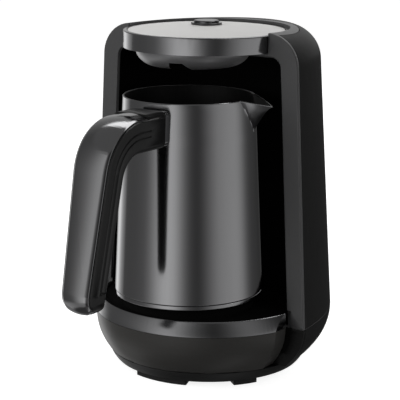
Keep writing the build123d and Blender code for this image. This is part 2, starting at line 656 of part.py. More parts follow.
def spill_shield():
    top, low = RING_BOTTOM_Z, RING_BOTTOM_Z - SHIELD_HEIGHT
    spread = SHIELD_TOP_RADIUS - SHIELD_RADIUS
    outer = [(SHIELD_TOP_RADIUS - spread * x, 0, low + SHIELD_HEIGHT * h) for x, h in SHIELD_SHAPE]
    inner = [(x - SHIELD_WALL, 0, z + SHIELD_WALL * (top - z) / SHIELD_HEIGHT) for x, _, z in reversed(outer)]
    outline = [
        Spline(outer),
        Line(outer[-1], (WINDOW_RADIUS, 0, low)),
        Line((WINDOW_RADIUS, 0, low), (WINDOW_RADIUS, 0, low + SHIELD_WALL)),
        Line((WINDOW_RADIUS, 0, low + SHIELD_WALL), inner[0]),
        Spline(inner),
        Line(inner[-1], outer[0]),
    ]
    bowl = revolve(make_face(Wire(outline)), Axis.Z)
    notch_reach = SHIELD_TOP_RADIUS
    notch = [(-NOTCH_WIDTH / 2, low - 1), (-NOTCH_WIDTH * 0.4, low + NOTCH_HEIGHT)]
    notch += [(NOTCH_WIDTH * 0.15, low + NOTCH_HEIGHT), (NOTCH_WIDTH / 2, low - 1)]
    cut = make_face(Polyline([(x, -WINDOW_RADIUS * 2.6, z) for x, z in notch], close=True))
    cut = Rot(0, 0, NOTCH_ANGLE) * extrude(cut, amount=notch_reach, dir=(0, -1, 0))
    return Pos(0, SHIELD_Y, 0) * (bowl - cut)


def sensor_window():
    low = RING_BOTTOM_Z - SHIELD_HEIGHT
    pane = disc(WINDOW_RADIUS - SEAT, low, low + WINDOW_THICKNESS, 0, SHIELD_Y)
    return fillet(pane.edges().group_by(Axis.Z)[0], EDGE / 2)


def foam_sensor():
    low = RING_BOTTOM_Z - SHIELD_HEIGHT + WINDOW_THICKNESS
    body = block(SENSOR_WIDTH, SENSOR_DEPTH, low + WINDOW_THICKNESS, RING_BOTTOM_Z, 0, SHIELD_Y)
    lens = disc(SENSOR_DEPTH / 4, low + SEAT, low + WINDOW_THICKNESS, 0, SHIELD_Y)
    return body + lens


# ---- electronics --------------------------------------------------------------------------------------------------
def board_corners():
    inset = POST_RADIUS + 0.6
    return [
        (sx * (BOARD_HALF_X - inset), HEAD_Y + sy * (BOARD_HALF_Y - inset)) for sx in (-1, 1) for sy in (-1, 1)
    ]


def power_corners():
    inset = POST_RADIUS + 0.6
    return [
        (sx * (POWER_HALF_X - inset), POWER_Y + sy * (POWER_HALF_Y - inset)) for sx in (-1, 1) for sy in (-1, 1)
    ]


def indicator_led():
    return block(LED_SIZE, LED_SIZE, BOARD_TOP_Z, BOARD_TOP_Z + LED_HEIGHT, LED_X, HEAD_Y)


def buzzer():
    can = disc(BUZZER_RADIUS, BOARD_TOP_Z, BOARD_TOP_Z + BUZZER_HEIGHT, -BUZZER_X, HEAD_Y)
    return can - disc(BUZZER_RADIUS / 6, BOARD_TOP_Z + 1, BIG, -BUZZER_X, HEAD_Y)


def button_switch():
    body = block(SWITCH_SIZE, SWITCH_SIZE, BOARD_TOP_Z, SWITCH_TOP_Z - 0.6, 0, HEAD_Y)
    return body + disc(SWITCH_SIZE / 4, SWITCH_TOP_Z - 0.6, SWITCH_TOP_Z, 0, HEAD_Y)


def control_board():
    board = block(2 * BOARD_HALF_X, 2 * BOARD_HALF_Y, BOARD_Z, BOARD_TOP_Z, 0, HEAD_Y)
    board = fillet(board.edges().filter_by(Axis.Z), EDGE)
    for x, y in board_corners():
        board -= disc(BOARD_SCREW + SEAT, BOARD_Z - 1, BOARD_TOP_Z + 1, x, y)
    return board


def board_screws():
    screws = []
    for x, y in board_corners():
        shank = disc(BOARD_SCREW, TRAY_TOP_Z, BOARD_TOP_Z, x, y)
        head = disc(BOARD_SCREW * 2, BOARD_TOP_Z, BOARD_TOP_Z + BOARD_SCREW * 1.4, x, y)
        screws.append(shank + head)
    return Compound(children=screws)


def power_board():
    return block(2 * POWER_HALF_X, 2 * POWER_HALF_Y, POWER_Z, POWER_TOP_Z, 0, POWER_Y)


def on_power_board(size, x, y):
    """A component that stands on the power board."""
    width, depth, height = size
    part = block(width, depth, POWER_TOP_Z, POWER_TOP_Z + height, x, y)
    return fillet(part.edges().group_by(Axis.Z)[-1], EDGE)


def relay():
    return on_power_board(RELAY, SIDE_PARTS_X, POWER_Y)


def transformer():
    core = on_power_board(TRANSFORMER, -SIDE_PARTS_X, POWER_Y)
    width, depth, height = TRANSFORMER
    tape = block(width * 0.6, depth + 2, POWER_TOP_Z + 2, POWER_TOP_Z + height - 2, -SIDE_PARTS_X, POWER_Y)
    return core + tape


def capacitor():
    can = disc(CAPACITOR_RADIUS, POWER_TOP_Z, POWER_TOP_Z + CAPACITOR_HEIGHT, 0, POWER_Y)
    return fillet(can.edges().group_by(Axis.Z)[-1], EDGE)


def mains_terminal():
    y = POWER_Y + POWER_HALF_Y - TERMINAL_BLOCK[1] / 2
    body = on_power_board(TERMINAL_BLOCK, 0, y)
    for s in (-1, 1):
        body -= disc(1.5, POWER_TOP_Z + TERMINAL_BLOCK[2] - 2, BIG, s * TERMINAL_BLOCK[0] / 4, y)
    return body


def tube(points, radius, bend):
    """An internal cable: straight runs joined by tangent bends."""
    path = FilletPolyline(points, radius=bend)
    return sweep(Plane(origin=path @ 0, z_dir=path % 0) * Circle(radius), path)


def wire_loom():
    top = TRAY_TOP_Z + LOOM_RADIUS + SEAT
    end_y = HEAD_Y + BOARD_HALF_Y - 2 * POST_RADIUS
    return tube([(0, LOOM_Y, POWER_TOP_Z), (0, LOOM_Y, top), (0, end_y, top)], LOOM_RADIUS, 3 * LOOM_RADIUS)


def heater_leads():
    leads = []
    for x, y in terminal_points():
        end_y = POWER_Y - POWER_HALF_Y + 2 * LEAD_RADIUS
        route = [(x, y, TERMINAL_Z), (x, y, LEAD_Z), (x, end_y, LEAD_Z), (x, end_y, POWER_TOP_Z)]
        leads.append(tube(route, LEAD_RADIUS, 3 * LEAD_RADIUS - 1))
    return Compound(children=leads)


def gland_axis(radius, length):
    """A cylinder along the mains inlet, centred where it meets the rear wall."""
    wall_y = HOUSING_Y + SEAM_HALF_DEPTH - drawn_in(GLAND_Z, SIDE_TURN_IN)
    return Pos(0, wall_y, GLAND_Z) * (Rot(90, 0, 0) * Cylinder(radius, length))


def cord_gland():
    wall_y = HOUSING_Y + SEAM_HALF_DEPTH - drawn_in(GLAND_Z, SIDE_TURN_IN)
    neck = gland_axis(GLAND_RADIUS, 2 * GLAND_DEPTH) & between_y(wall_y - GLAND_DEPTH, wall_y + WALL)
    flange = gland_axis(GLAND_FLANGE, 2 * GLAND_DEPTH) & between_y(wall_y - WALL, wall_y + WALL)
    flange -= lower_form(-SEAT / 2)
    return neck + flange - gland_axis(GLAND_BORE, 4 * GLAND_DEPTH)


# ---- pot ------------------------------------------------------------------------------------------------------------
def pot_radius(z):
    """Outer radius of the pot's conical wall at a level."""
    share = (z - POT_Z) / (POT_RIM_Z - POT_Z)
    return POT_FOOT_RADIUS + (POT_RIM_RADIUS - POT_FOOT_RADIUS) * share


def pot_cone(grow, low, high):
    """The pot's conical form between two levels, grown sideways."""
    return lathe([(0, low), (pot_radius(low) + grow, low), (pot_radius(high) + grow, high), (0, high)])


def spout_form(inset, top):
    """A pinched cone from a point on the wall up past the rim."""
    sections = []
    share = (top - SPOUT_APEX_Z) / (POT_RIM_Z - SPOUT_APEX_Z)
    wall_low = pot_radius(SPOUT_APEX_Z)
    for t, z in ((0.04, SPOUT_APEX_Z), (share, top)):
        reach = wall_low + (SPOUT_REACH - wall_low) * t - inset
        half = SPOUT_HALF * t * 1.25 + 0.6 - inset * 0.5
        root = pot_radius(min(z, POT_RIM_Z)) * 0.78
        tip = reach + SPOUT_NOSE * t * 0.9
        face = make_face(Polyline([(root, -half, z), (tip, 0, z), (root, half, z)], close=True))
        nose = face.vertices().sort_by(Axis.X)[-1]
        sections.append(fillet(nose, max(SPOUT_NOSE * t - inset * t, 0.1)))
    return Rot(0, 0, SPOUT_ANGLE) * loft(sections, ruled=True)


def pot_body():
    above = 3.0
    outside = pot_cone(0, POT_Z, POT_RIM_Z)
    outside = fillet(outside.edges().group_by(Axis.Z)[0], POT_HEEL)
    outside += spout_form(0, POT_RIM_Z)
    inside = pot_cone(-POT_WALL, POT_Z + POT_WALL, POT_RIM_Z + above) + spout_form(POT_WALL, POT_RIM_Z + above)
    start = POT_RIM_RADIUS - POT_WALL
    end = SPOUT_REACH + 2 * SPOUT_NOSE
    drop = (end - start) * sin(radians(SPOUT_DIP)) / cos(radians(SPOUT_DIP))
    lip = [(start, POT_RIM_Z), (end, POT_RIM_Z - drop), (end, POT_RIM_Z + above), (start, POT_RIM_Z + above)]
    lip_cut = make_face(Polyline([(x, -SPOUT_HALF * 2, z) for x, z in lip], close=True))
    lip_cut = Rot(0, 0, SPOUT_ANGLE) * extrude(lip_cut, amount=SPOUT_HALF * 4, dir=(0, 1, 0))
    return outside - inside - lip_cut


def pot_base():
    base = disc(POT_BASE_RADIUS, POT_BASE_Z, POT_Z)
    return fillet(base.edges().group_by(Axis.Z)[0], EDGE)


# ---- handle -----------------------------------------------------------------------------------------------------------
def grip_slope():
    """How far the grip's outer line runs out for each millimetre down."""
    return (HANDLE_REACH_R - HANDLE_SHOULDER_R) / (HANDLE_TOP_Z - HANDLE_TIP_Z)


def grip_line(z, back=0.0):
    """Distance of the grip's outer line from the pot's axis, moved back square to it."""
    return HANDLE_SHOULDER_R + grip_slope() * (HANDLE_TOP_Z - z) - back * hypot(1, grip_slope())


def tip_run():
    """Length of the handle's flat lower end that its outer rounding takes up."""
    return TIP_OUTER_RADIUS / tan(pi / 4 - atan(grip_slope()) / 2)


def side_face(points):
    """A closed side outline of (distance in front, height, corner radius) points."""
    path = FilletPolyline(
        [(0, -r, z) for r, z, _ in points], radius=[corner for _, _, corner in points], close=True
    )
    return make_face(path)


def across(face, width):
    """Extrudes a side outline to both sides of the middle."""
    return extrude(face, amount=width / 2, both=True)


def grip_zone(back, start, flat=COVER_TIP_FLAT):
    """Everything outside a line set back from the handle's top, outer and tip lines."""
    top, tip, low = HANDLE_TOP_Z - back, HANDLE_TIP_Z + back, HANDLE_TIP_Z - HANDLE_REACH_R
    end = grip_line(HANDLE_TIP_Z) - tip_run() - flat
    outline = [
        (start, top, 0),
        (grip_line(top, back), top, SHOULDER_RADIUS - back),
        (grip_line(tip, back), tip, max(TIP_OUTER_RADIUS - back, 1)),
        (end, tip, 0),
        (end, low, 0),
        (2 * HANDLE_REACH_R, low, 0),
        (2 * HANDLE_REACH_R, 2 * HANDLE_TOP_Z, 0),
        (start, 2 * HANDLE_TOP_Z, 0),
    ]
    return across(side_face(outline), BIG)


def handle_form(trim):
    """The whole handle as one solid, each side moved in by trim."""
    outline = [
        (HANDLE_ROOT_R, HANDLE_TOP_Z, 0),
        (grip_line(HANDLE_TOP_Z), HANDLE_TOP_Z, SHOULDER_RADIUS),
        (grip_line(HANDLE_TIP_Z), HANDLE_TIP_Z, TIP_OUTER_RADIUS),
        (grip_line(HANDLE_TIP_Z, GRIP_THICKNESS), HANDLE_TIP_Z, TIP_INNER_RADIUS),
        (grip_line(HANDLE_UNDER_Z, GRIP_THICKNESS), HANDLE_UNDER_Z, FINGER_RADIUS),
        (HANDLE_ROOT_R, HANDLE_UNDER_Z, 0),
    ]
    sides = [(half - trim, z) for half, z in HANDLE_SIDES]
    return across(side_face(outline), BIG / 4) & handle_front(sides)


def handle_front(sides):
    """Space between the handle's two sides, which close in towards the tip."""
    (tip_half, tip_z), (half, top_z) = sides
    outline = [(-tip_half, 0, tip_z), (tip_half, 0, tip_z), (half, 0, top_z), (-half, 0, top_z)]
    return extrude(make_face(Polyline(outline, close=True)), amount=BIG / 2, dir=(0, -1, 0))


def tip_rounding():
    """Front outline of the handle with its round lower end."""
    (tip_half, tip_z), (half, top_z) = [(h + SEAT / 2, z) for h, z in HANDLE_SIDES]
    outline = [(-tip_half, 0, tip_z), (tip_half, 0, tip_z), (half, 0, top_z + 1), (-half, 0, top_z + 1)]
    face = make_face(FilletPolyline(outline, radius=[TIP_SIDE_RADIUS, TIP_SIDE_RADIUS, 0, 0], close=True))
    return extrude(face, amount=BIG / 2, dir=(0, -1, 0))


def side_edges(form, sharp_z):
    """Edges along the two sides of a handle piece, without those of its root."""
    long_edges = form.edges().filter_by(lambda e: abs((e @ 0).X - (e @ 1).X) < abs(e.length) / 4)
    return long_edges.filter_by(lambda e: (e @ 0.5).Y < -HANDLE_ROOT_R - 1 and (e @ 0.5).Z < sharp_z)


def side_groove(back):
    """A shallow channel in both sides of the grip, parallel to its outer line."""
    low = HANDLE_TIP_Z + TIP_OUTER_RADIUS
    flat = 2 * GRIP_THICKNESS
    strip = grip_zone(back + GROOVE_WIDTH / 2, TONGUE_END_R, flat) - grip_zone(back - GROOVE_WIDTH / 2, 0, flat)
    middle = handle_front([(h - GROOVE_DEPTH, z) for h, z in HANDLE_SIDES])
    return (strip & Pos(0, 0, low + BIG / 2) * Box(BIG, BIG, BIG)) - middle


def handle_core():
    whole = handle_form(0)
    whole = fillet(side_edges(whole, HANDLE_TOP_Z + 1), HANDLE_EDGE)
    core = whole - grip_zone(COVER_DEPTH + COVER_GAP, COVER_START_R - COVER_GAP)
    for back in GROOVE_BACKS:
        core -= side_groove(back)
    core -= tongue(SEAT)
    core -= disc(HANDLE_SCREW_RADIUS + SEAT, 0, TONGUE_TOP_Z + 2, 0, -HANDLE_SCREW_R)
    core -= disc(HANDLE_SCREW_HEAD + SEAT, 0, HANDLE_UNDER_Z + HANDLE_SCREW_HEAD_HEIGHT, 0, -HANDLE_SCREW_R)
    return core & tip_rounding()


def handle_cover():
    cover = handle_form(COVER_INSET) & grip_zone(COVER_DEPTH, COVER_START_R)
    outer = cover.edges().filter_by(lambda e: abs((e @ 0).X - (e @ 1).X) < e.length / 4)
    cover = fillet(outer.filter_by(on_outer_line), COVER_EDGE)
    return cover & tip_rounding()


def on_outer_line(edge):
    """Whether an edge of the cover lies on its outer face."""
    middle = edge @ 0.5
    inner = -middle.Y < grip_line(middle.Z, COVER_DEPTH * 0.6) and middle.Z < HANDLE_TOP_Z - COVER_DEPTH * 0.6
    return not inner and edge.length > COVER_DEPTH + 1


def tongue(play):
    """Flat steel tongue that the core slides onto."""
    size = (TONGUE_WIDTH + 2 * play, TONGUE_END_R - HANDLE_ROOT_R + play, TONGUE_HEIGHT + 2 * play)
    return Pos(0, -(HANDLE_ROOT_R + TONGUE_END_R + play) / 2, (TONGUE_TOP_Z + TONGUE_Z) / 2) * Box(*size)


def handle_bracket():
    """Steel collar welded to the pot, with the tongue that carries the handle."""
    high = HANDLE_TOP_Z - BRACKET_MARGIN
    low = HANDLE_UNDER_Z + BRACKET_MARGIN
    width = HANDLE_WIDTH - 2 * BRACKET_MARGIN
    reach = HANDLE_ROOT_R
    collar = Pos(0, -reach / 2, (high + low) / 2) * Box(width, reach, high - low)
    collar = fillet(collar.edges().filter_by(Axis.Y), BRACKET_CORNER)
    collar -= pot_cone(SEAT / 10, POT_Z, POT_RIM_Z + 1)
    bracket = collar + tongue(0)
    return bracket - disc(HANDLE_SCREW_RADIUS * 0.8, 0, TONGUE_TOP_Z + 1, 0, -HANDLE_SCREW_R)


def handle_screw():
    top = TONGUE_TOP_Z - 1
    head_z = HANDLE_UNDER_Z + HANDLE_SCREW_HEAD_HEIGHT
    head = disc(HANDLE_SCREW_HEAD, HANDLE_UNDER_Z + 0.4, head_z - SEAT, 0, -HANDLE_SCREW_R)
    head -= block(HANDLE_SCREW_HEAD * 1.4, 0.8, 0, HANDLE_UNDER_Z + 1.2, 0, -HANDLE_SCREW_R)
    shank = disc(HANDLE_SCREW_RADIUS * 0.8 - SEAT / 10, head_z - SEAT, top, 0, -HANDLE_SCREW_R)
    return head + shank


NODES = {
    "bottom_cover": bottom_cover,
    "rubber_feet": rubber_feet,
    "cover_screws": cover_screws,
    "front_bowl": front_bowl,
    "base_band": base_band,
    "base_deck": base_deck,
    "lower_rear_shell": lower_rear_shell,
    "lower_trim_left": lambda: lower_trim(-1),
    "lower_trim_right": lambda: lower_trim(1),
    "heater_plate": heater_plate,
    "heater_pan": heater_pan,
    "heating_element": heating_element,
    "temperature_probe": temperature_probe,
    "probe_spring": probe_spring,
    "thermal_fuse": thermal_fuse,
    "bezel_arch": bezel_arch,
    "rear_shell": rear_shell,
    "alcove_liner": alcove_liner,
    "head_ring": head_ring,
    "head_tray": head_tray,
    "lid": lid,
    "button_ring": button_ring,
    "button_cap": button_cap,
    "button_spring": button_spring,
    "spill_shield": spill_shield,
    "sensor_window": sensor_window,
    "foam_sensor": foam_sensor,
    "control_board": control_board,
    "button_switch": button_switch,
    "indicator_led": indicator_led,
    "buzzer": buzzer,
    "board_screws": board_screws,
    "power_board": power_board,
    "relay": relay,
    "transformer": transformer,
    "capacitor": capacitor,
    "mains_terminal": mains_terminal,
    "wire_loom": wire_loom,
    "heater_leads": heater_leads,
    "cord_gland": cord_gland,
    "pot_body": pot_body,
    "pot_base": pot_base,
    "handle_core": handle_core,
    "handle_cover": handle_cover,
    "handle_bracket": handle_bracket,
    "handle_screw": handle_screw,
}

if __name__ == "__main__":
    os.makedirs("parts", exist_ok=True)
    for name, make in NODES.items():
        export_step(make(), f"parts/{name}.step")
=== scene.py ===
import json
from math import atan, atan2, cos, pi, radians, sin, sqrt, tan

import bmesh
import bpy
from mathutils import Matrix, Vector

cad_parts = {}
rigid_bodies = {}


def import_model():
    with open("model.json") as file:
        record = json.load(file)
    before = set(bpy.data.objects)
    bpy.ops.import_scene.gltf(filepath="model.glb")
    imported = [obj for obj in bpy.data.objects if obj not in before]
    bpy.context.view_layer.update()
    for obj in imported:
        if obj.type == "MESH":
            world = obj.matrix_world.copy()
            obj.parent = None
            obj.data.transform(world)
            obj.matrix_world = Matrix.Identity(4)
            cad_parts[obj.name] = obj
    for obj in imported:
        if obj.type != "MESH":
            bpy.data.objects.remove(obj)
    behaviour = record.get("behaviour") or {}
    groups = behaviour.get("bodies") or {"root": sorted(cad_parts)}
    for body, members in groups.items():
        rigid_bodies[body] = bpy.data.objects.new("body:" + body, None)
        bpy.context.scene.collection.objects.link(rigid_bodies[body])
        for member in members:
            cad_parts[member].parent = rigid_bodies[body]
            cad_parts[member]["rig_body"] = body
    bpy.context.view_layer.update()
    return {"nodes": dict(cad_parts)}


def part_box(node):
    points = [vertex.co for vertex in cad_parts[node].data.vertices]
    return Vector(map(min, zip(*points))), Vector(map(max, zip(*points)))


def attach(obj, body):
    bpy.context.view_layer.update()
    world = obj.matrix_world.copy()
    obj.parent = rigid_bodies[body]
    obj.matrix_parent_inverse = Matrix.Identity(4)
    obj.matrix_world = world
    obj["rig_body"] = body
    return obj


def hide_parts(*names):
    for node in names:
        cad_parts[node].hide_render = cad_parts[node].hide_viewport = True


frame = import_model()
MM = 0.001

# ---- camera --------------------------------------------------------------------------
# A long lens, a little above the machine and to the right of its front, close
# to level, so that the upright walls stay almost parallel.
camera_place = (519.7 * MM, -787.6 * MM, 319.5 * MM)
camera_turn = radians(32.99)
camera_dip = radians(12.48)
camera_roll = radians(0.26)
lens_length = 137.4
sensor_size = 36.0
farthest_view = 50

look = Vector((-sin(camera_turn) * cos(camera_dip), cos(camera_turn) * cos(camera_dip), -sin(camera_dip)))
right = Vector((cos(camera_turn), sin(camera_turn), 0))
up = right.cross(look)
rolled_right = cos(camera_roll) * right + sin(camera_roll) * up
rolled_up = cos(camera_roll) * up - sin(camera_roll) * right
camera_data = bpy.data.cameras.new("studio_camera")
camera_data.lens = lens_length
camera_data.sensor_width = sensor_size
camera_data.clip_end = farthest_view
camera = bpy.data.objects.new("studio_camera", camera_data)
axes = Matrix((rolled_right, rolled_up, -look)).transposed().to_4x4()
camera.matrix_world = Matrix.Translation(camera_place) @ axes
bpy.context.scene.collection.objects.link(camera)
bpy.context.scene.camera = camera
bpy.context.scene.view_settings.view_transform = "Standard"


# ---- floor, backdrop and lamps -------------------------------------------------------
# A plain pale floor that runs out to a white room, with large soft lamps at the left,
# at the right, above and behind, as for a product on a table. The floor glows for the
# lens alone, which keeps it pale without more light on the machine.
def new_material(name):
    """An empty node material with its output, ready for links."""
    made = bpy.data.materials.new(name)
    made.use_nodes = True
    made.node_tree.nodes.clear()
    made.node_tree.nodes.new("ShaderNodeOutputMaterial")
    return made, made.node_tree.nodes, made.node_tree.links


def link_object(name, mesh):
    """A new object at the origin for a mesh."""
    made = bpy.data.objects.new(name, mesh)
    bpy.context.scene.collection.objects.link(made)
    return made


floor_size = 6.0
floor_colour = (0.45, 0.45, 0.45, 1)
floor_glow = 0.86

floor_shape = bmesh.new()
bmesh.ops.create_grid(floor_shape, x_segments=1, y_segments=1, size=floor_size)
floor_mesh = bpy.data.meshes.new("floor")
floor_shape.to_mesh(floor_mesh)
floor_shape.free()
floor = link_object("floor", floor_mesh)
floor.visible_glossy = False
floor_finish, nodes, links = new_material("floor_paper")
paper = nodes.new("ShaderNodeBsdfDiffuse")
paper.inputs["Color"].default_value = floor_colour
glow = nodes.new("ShaderNodeEmission")
rays = nodes.new("ShaderNodeLightPath")
level = nodes.new("ShaderNodeMath")
level.operation = "MULTIPLY"
level.inputs[1].default_value = floor_glow
both = nodes.new("ShaderNodeAddShader")
links.new(rays.outputs["Is Camera Ray"], level.inputs[0])
links.new(level.outputs[0], glow.inputs["Strength"])
links.new(paper.outputs[0], both.inputs[0])
links.new(glow.outputs[0], both.inputs[1])
links.new(both.outputs[0], nodes["Material Output"].inputs["Surface"])
floor_mesh.materials.append(floor_finish)

# The room as polished surfaces see it, in four rings from straight below up to the
# ceiling. Each ring gives its brightness by bearing, in degrees from straight in front
# of the machine towards its right. Each edge gives the rise of a ray, as the sine of its
# angle, over which one ring goes into the next. The ceiling is dim in front and at its
# brightest behind, and bright_back gives how far back that change comes.
under_room = ((-147, 0.12), (52, 0.12), (66, 1.1), (90, 1.1), (104, 0.12), (183, 0.12))
floor_room = (
    (-147, 0.3), (-110, 0.4), (-75, 0.8), (-52, 0.7), (-33, 0.5), (-15, 0.7), (5, 0.6), (20, 0.25),
    (32, 0.05), (50, 0.15), (68, 0.3), (85, 0.3), (102, 0.1), (127, 0.02), (155, 0.02), (183, 0.1),
)
low_room = (
    (-147, 0.05), (-131, 0.2), (-116, 2.1), (-105, 1.0), (-92, 0.4), (-77, 0.2), (-42, 0.25), (-27, 0.6),
    (-12, 1.4), (0, 1.6), (11, 1.35), (21, 0.7), (30, 0.3), (38, 0.17), (48, 0.1), (58, 0.22), (70, 0.5),
    (83, 0.8), (103, 0.95), (116, 1.0), (127, 0.8), (139, 0.3), (152, 0.15), (166, 0.12), (183, 0.05),
)
high_room = (
    (-147, 0.6), (-125, 0.4), (-100, 0.22), (-75, 0.22), (-52, 0.31), (-35, 0.52), (-20, 0.95), (-10, 1.25),
    (3, 0.75), (17, 0.22), (31, 0.1), (38, 0.05), (46, 0.08), (59, 0.27), (73, 0.5), (88, 0.37), (105, 0.12),
    (121, 0.04), (140, 0.06), (160, 0.4), (180, 0.6), (197, 0.6),
)
under_edge = (-0.84, -0.74)
floor_edge = (-0.62, -0.42)
rings_meet = (-0.1, 0.15)
ceiling_edge = (0.68, 0.76)
bright_back = (0.26, 0.34)
ceiling_front = 0.3
room_peak = 4.0
soft_fill = 0.35

room = bpy.data.worlds.new("white_room")
room.use_nodes = True
bpy.context.scene.world = room
nodes, links = room.node_tree.nodes, room.node_tree.links
nodes.clear()
rays = nodes.new("ShaderNodeLightPath")
heading = nodes.new("ShaderNodeTexCoord")
parts = nodes.new("ShaderNodeSeparateXYZ")
bearing = nodes.new("ShaderNodeMath")
bearing.operation = "ARCTAN2"
turn_share = nodes.new("ShaderNodeMapRange")
turn_share.inputs["From Min"].default_value = -pi
turn_share.inputs["From Max"].default_value = pi
links.new(heading.outputs["Generated"], parts.inputs[0])
links.new(parts.outputs["Y"], bearing.inputs[0])
links.new(parts.outputs["X"], bearing.inputs[1])
links.new(bearing.outputs[0], turn_share.inputs["Value"])


def room_ring(levels):
    """Brightness all round the room at one height."""
    around = nodes.new("ShaderNodeValToRGB")
    ramp = around.color_ramp
    ramp.interpolation = "B_SPLINE"
    stops = sorted((((b - 90 + 180) / 360) % 1, level / room_peak) for b, level in levels)
    while len(ramp.elements) < len(stops):
        ramp.elements.new(0.5)
    for element, (share, level) in zip(ramp.elements, stops):
        element.position = share
        element.color = (level, level, level, 1)
    links.new(turn_share.outputs["Result"], around.inputs["Fac"])
    return around.outputs["Color"]


def join_rooms(lower, upper, edge, along="Z"):
    """Goes from one part of the room to the next, between two heights or two depths."""
    change = nodes.new("ShaderNodeMapRange")
    change.interpolation_type = "SMOOTHSTEP"
    change.inputs["From Min"].default_value, change.inputs["From Max"].default_value = edge
    join = nodes.new("ShaderNodeMix")
    join.data_type = "RGBA"
    links.new(parts.outputs[along], change.inputs["Value"])
    links.new(change.outputs["Result"], join.inputs["Factor"])
    for side, source in (("A", lower), ("B", upper)):
        if isinstance(source, float):
            level = source / room_peak
            join.inputs[side].default_value = (level, level, level, 1)
        else:
            links.new(source, join.inputs[side])
    return join.outputs["Result"]


below = join_rooms(room_ring(under_room), room_ring(floor_room), under_edge)
lower_walls = join_rooms(below, room_ring(low_room), floor_edge)
walls = join_rooms(lower_walls, room_ring(high_room), rings_meet)
ceiling = join_rooms(ceiling_front, room_peak, bright_back, along="Y")
whole_room = join_rooms(walls, ceiling, ceiling_edge)
seen_room = nodes.new("ShaderNodeBackground")
seen_room.inputs["Strength"].default_value = room_peak
links.new(whole_room, seen_room.inputs["Color"])
backdrop = nodes.new("ShaderNodeBackground")
backdrop.inputs["Color"].default_value = (1, 1, 1, 1)
dim_room = nodes.new("ShaderNodeBackground")
dim_room.inputs["Color"].default_value = (1, 1, 1, 1)
dim_room.inputs["Strength"].default_value = soft_fill
for_gloss = nodes.new("ShaderNodeMixShader")
for_camera = nodes.new("ShaderNodeMixShader")
output = nodes.new("ShaderNodeOutputWorld")
links.new(rays.outputs["Is Glossy Ray"], for_gloss.inputs["Fac"])
links.new(dim_room.outputs[0], for_gloss.inputs[1])
links.new(seen_room.outputs[0], for_gloss.inputs[2])
links.new(rays.outputs["Is Camera Ray"], for_camera.inputs["Fac"])
links.new(for_gloss.outputs[0], for_camera.inputs[1])
links.new(backdrop.outputs[0], for_camera.inputs[2])
links.new(for_camera.outputs[0], output.inputs["Surface"])


def soft_lamp(name, place, aim, width, height, watts):
    """A large rectangular lamp that faces a point and stays out of reflections."""
    data = bpy.data.lights.new(name, "AREA")
    data.shape = "RECTANGLE"
    data.size, data.size_y = width, height
    data.energy = watts
    lamp = bpy.data.objects.new(name, data)
    lamp.location = place
    lamp.rotation_mode = "QUATERNION"
    lamp.rotation_quaternion = (Vector(aim) - Vector(place)).to_track_quat("-Z", "Y")
    lamp.visible_glossy = False
    bpy.context.scene.collection.objects.link(lamp)


middle = (0, 0, 0.11)
soft_lamp("lamp_left", (-0.9, -0.75, 0.42), middle, 0.8, 1.0, 10)
soft_lamp("lamp_right", (1.15, -0.35, 0.6), middle, 0.8, 1.0, 2.5)
soft_lamp("lamp_over", (-0.45, 0.2, 0.75), middle, 0.5, 0.5, 3.5)
soft_lamp("lamp_back", (0.25, 1.3, 0.35), middle, 1.2, 0.8, 14)


# ---- bottom cover --------------------------------------------------------------------
# A shallow dish of black plastic under the works, moulded with a fine grain that
# hides handling, with slots that let warm air out and recesses for its screws.
def group_socket(tree, name, kind, way, value=None):
    """One named input or output of a node group."""
    made = tree.interface.new_socket(name=name, in_out=way, socket_type=kind)
    if value is not None:
        made.default_value = value


def build_moulded_skin():
    """Spark-eroded mould texture: a fine pebbled normal and the patches that hands leave."""
    tree = bpy.data.node_groups.new("moulded_skin", "ShaderNodeTree")
    group_socket(tree, "Grain Scale", "NodeSocketFloat", "INPUT", 1500.0)
    group_socket(tree, "Grain Depth", "NodeSocketFloat", "INPUT", 0.2)
    group_socket(tree, "Stretch", "NodeSocketVector", "INPUT", (1.0, 1.0, 1.0))
    group_socket(tree, "Patch Scale", "NodeSocketFloat", "INPUT", 25.0)
    group_socket(tree, "Normal", "NodeSocketVector", "OUTPUT")
    group_socket(tree, "Grain", "NodeSocketFloat", "OUTPUT")
    group_socket(tree, "Patches", "NodeSocketFloat", "OUTPUT")
    inside, wires = tree.nodes, tree.links
    entry = inside.new("NodeGroupInput")
    leave = inside.new("NodeGroupOutput")
    place = inside.new("ShaderNodeTexCoord")
    stretched = inside.new("ShaderNodeVectorMath")
    stretched.operation = "MULTIPLY"
    grain = inside.new("ShaderNodeTexNoise")
    grain.inputs["Detail"].default_value = 2.0
    bump = inside.new("ShaderNodeBump")
    bump.inputs["Distance"].default_value = 0.06 * MM
    patches = inside.new("ShaderNodeTexNoise")
    patches.inputs["Detail"].default_value = 3.0
    wires.new(place.outputs["Object"], stretched.inputs[0])
    wires.new(entry.outputs["Stretch"], stretched.inputs[1])
    wires.new(stretched.outputs[0], grain.inputs["Vector"])
    wires.new(entry.outputs["Grain Scale"], grain.inputs["Scale"])
    wires.new(entry.outputs["Grain Depth"], bump.inputs["Strength"])
    wires.new(grain.outputs["Fac"], bump.inputs["Height"])
    wires.new(place.outputs["Object"], patches.inputs["Vector"])
    wires.new(entry.outputs["Patch Scale"], patches.inputs["Scale"])
    wires.new(bump.outputs["Normal"], leave.inputs["Normal"])
    wires.new(grain.outputs["Fac"], leave.inputs["Grain"])
    wires.new(patches.outputs["Fac"], leave.inputs["Patches"])
    return tree


moulded_skin = build_moulded_skin()


